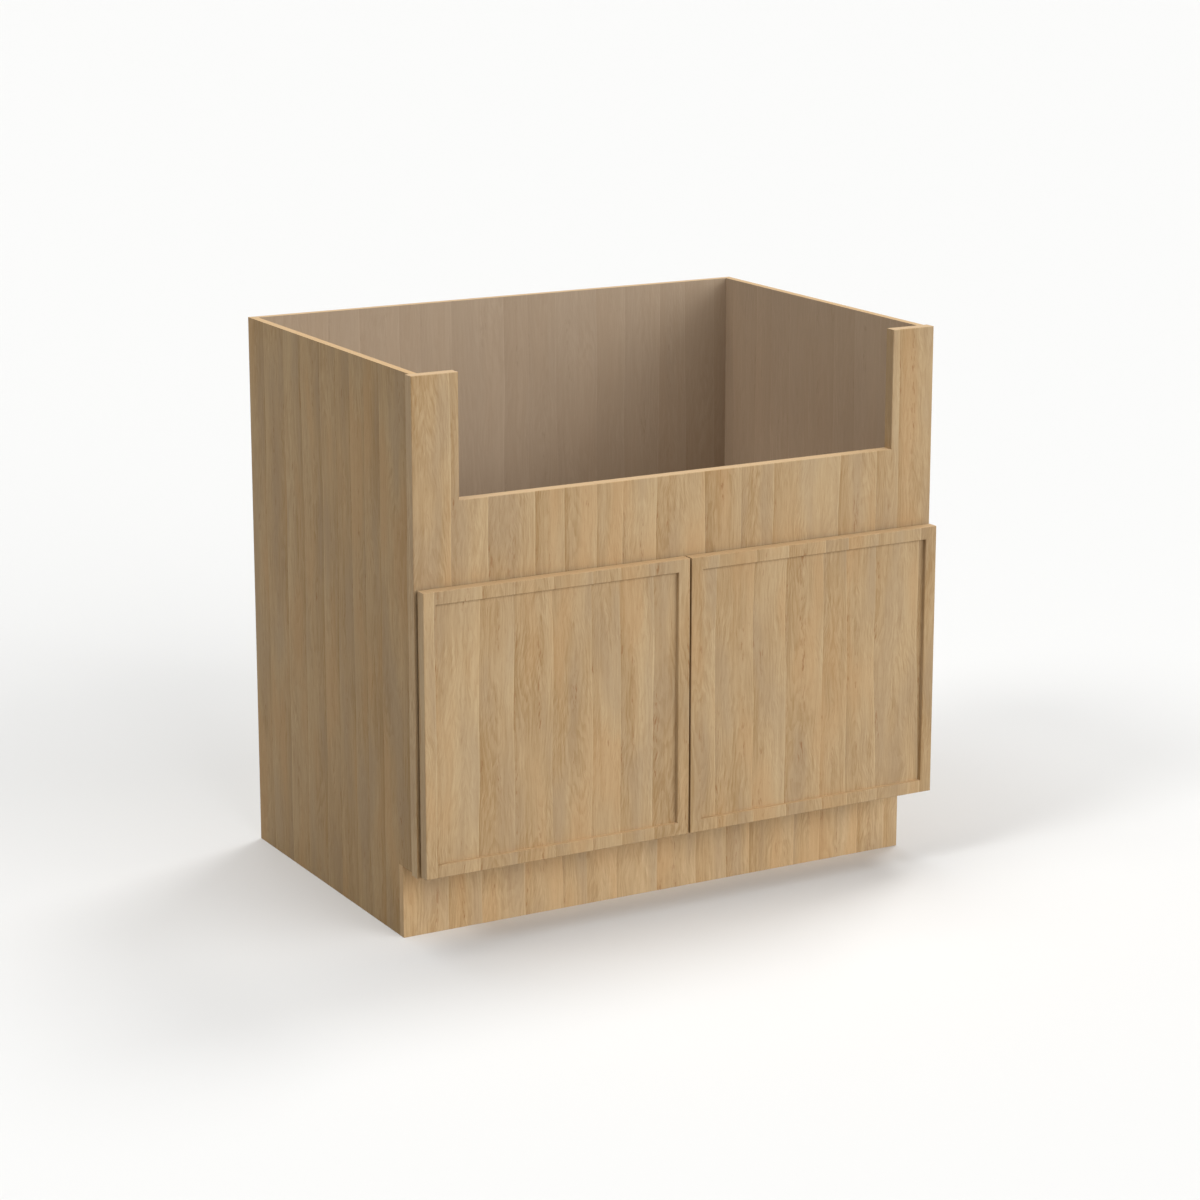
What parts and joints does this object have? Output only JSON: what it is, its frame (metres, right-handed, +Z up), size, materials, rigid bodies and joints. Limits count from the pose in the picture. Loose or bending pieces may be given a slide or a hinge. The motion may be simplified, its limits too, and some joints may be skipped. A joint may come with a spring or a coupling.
{
  "type": "sink base cabinet",
  "caption": "Open-topped face-framed base cabinet with a cut-out apron for a farmhouse sink, slim-framed doors on concealed hinges and a recessed toe kick.",
  "frame": {"origin": "on the floor, under the middle of the closed cabinet's bounding box", "axes": "+X to the right as seen from the front, +Y from the doors to the back, +Z up"},
  "size_m": [0.9144, 0.6346, 0.8763],
  "materials": {
    "oak_front": "vertical-grain oak veneer, matt lacquer",
    "oak_end": "vertical-grain oak veneer, matt lacquer",
    "oak_inside": "oak-veneered plywood, clear coated",
    "bare_plywood": "bare plywood",
    "beech": "fluteless dowel rod",
    "nickel_steel": "nickel-plated pressed steel",
    "zinc_steel": "zinc-plated steel",
    "bumper_rubber": "soft translucent polyurethane"
  },
  "bodies": {
    "carcass": {"left_end_panel": "oak_end", "right_end_panel": "oak_end", "back_panel": "oak_inside", "bottom_panel": "oak_inside", "left_stile": "oak_front", "right_stile": "oak_front", "apron_panel": "oak_front", "bottom_rail": "oak_front", "toe_kick_board": "oak_front", "toe_kick_backer": "bare_plywood", "floor_sleeper": "bare_plywood", "glue_blocks": "bare_plywood", "frame_dowels": "beech", "pocket_screws": "zinc_steel", "back_staples": "zinc_steel", "hinge_arm_screws": "zinc_steel", "left_upper_hinge_arm": "nickel_steel", "left_lower_hinge_arm": "nickel_steel", "right_upper_hinge_arm": "nickel_steel", "right_lower_hinge_arm": "nickel_steel"},
    "left_door": {"left_door_hinge_stile": "oak_front", "left_door_lock_stile": "oak_front", "left_door_top_rail": "oak_front", "left_door_bottom_rail": "oak_front", "left_door_panel": "oak_front", "left_door_bumpers": "bumper_rubber", "left_upper_hinge_cup": "nickel_steel", "left_upper_hinge_pin": "zinc_steel", "left_lower_hinge_cup": "nickel_steel", "left_lower_hinge_pin": "zinc_steel", "left_hinge_cup_screws": "zinc_steel"},
    "right_door": {"right_door_hinge_stile": "oak_front", "right_door_lock_stile": "oak_front", "right_door_top_rail": "oak_front", "right_door_bottom_rail": "oak_front", "right_door_panel": "oak_front", "right_door_bumpers": "bumper_rubber", "right_upper_hinge_cup": "nickel_steel", "right_upper_hinge_pin": "zinc_steel", "right_lower_hinge_cup": "nickel_steel", "right_lower_hinge_pin": "zinc_steel", "right_hinge_cup_screws": "zinc_steel"}
  },
  "joints": [
    {"name": "left_door_hinge", "type": "hinge", "parent": "carcass", "child": "left_door", "pos_m": [-0.44503, -0.30457, 0.339], "axis": [0, 0, -1], "range_deg": [0, 105]},
    {"name": "right_door_hinge", "type": "hinge", "parent": "carcass", "child": "right_door", "pos_m": [0.44503, -0.30457, 0.339], "axis": [0, 0, 1], "range_deg": [0, 105]}
  ]
}
